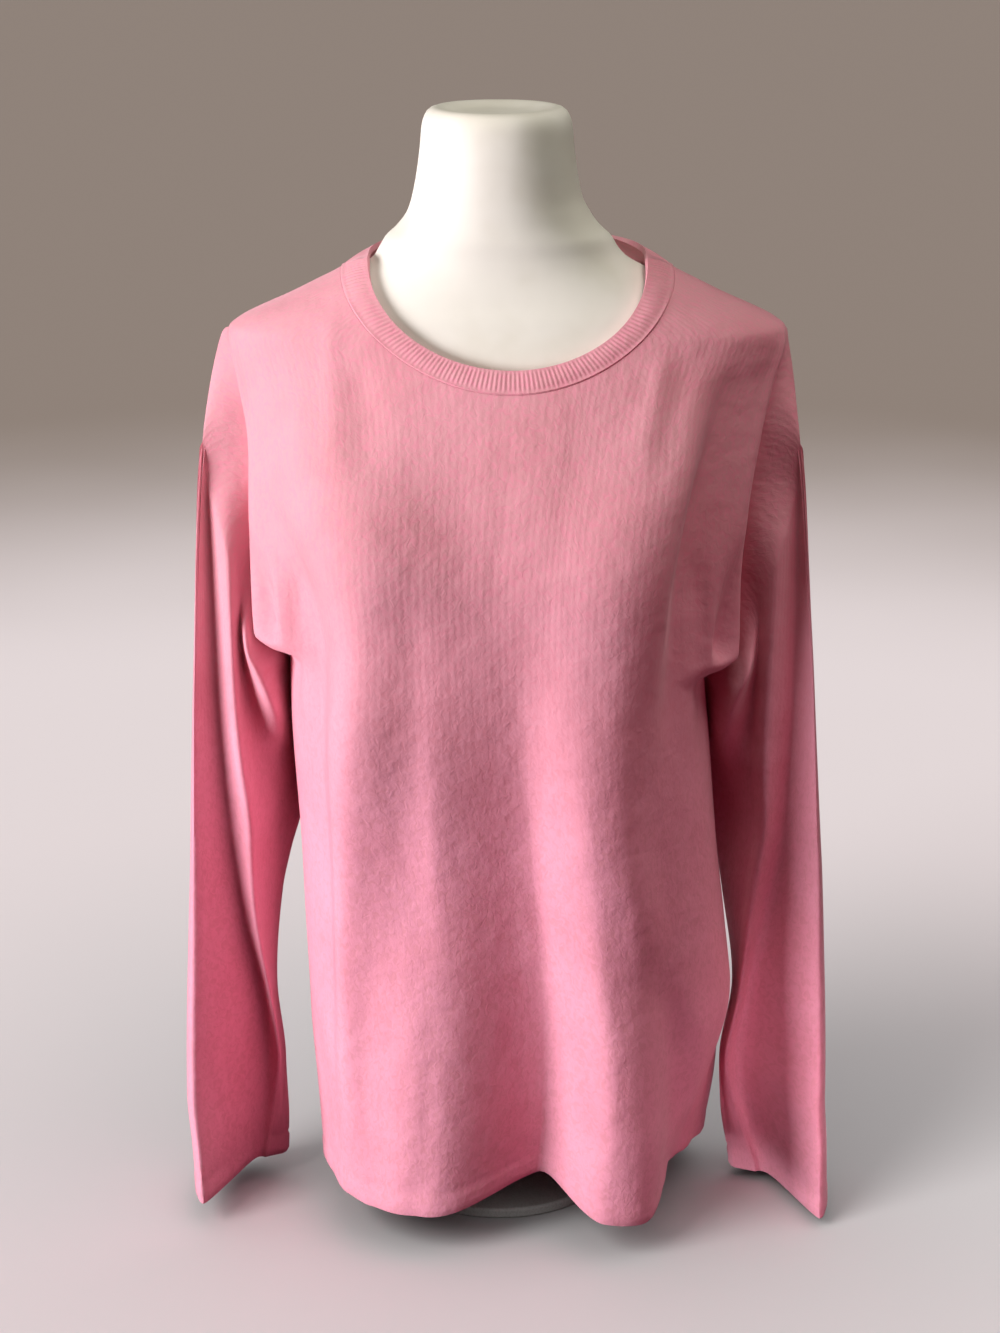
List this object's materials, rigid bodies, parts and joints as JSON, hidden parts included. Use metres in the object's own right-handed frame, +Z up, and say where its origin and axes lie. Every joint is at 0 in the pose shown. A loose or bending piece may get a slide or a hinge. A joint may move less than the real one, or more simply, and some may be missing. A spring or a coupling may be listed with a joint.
{
  "type": "long-sleeved knit sweater on limbless dress form",
  "caption": "Long-sleeved crew-neck sweater in soft knit, hanging with loose folds on a smooth limbless dress form that stands on a pole and a round base.",
  "frame": {"origin": "centre of the round base's flat underside", "axes": "+Z up along the pole, the sweater's front faces -Y, its left sleeve as seen from the front is at -X"},
  "size_m": [0.4771, 0.2555, 0.8195],
  "materials": {
    "body_front": "fine cashmere jersey with a soft nap",
    "body_back": "fine cashmere jersey with a soft nap",
    "sleeve_left": "fine cashmere jersey with a soft nap",
    "sleeve_right": "fine cashmere jersey with a soft nap",
    "neckband": "one-by-one cashmere rib",
    "form": "matte off-white shell",
    "pole": "satin off-white paint",
    "base": "satin off-white paint"
  },
  "bodies": {
    "root": {"body_front": "body_front", "body_back": "body_back", "sleeve_left": "sleeve_left", "sleeve_right": "sleeve_right", "neckband": "neckband", "form": "form", "pole": "pole", "base": "base"}
  },
  "joints": []
}
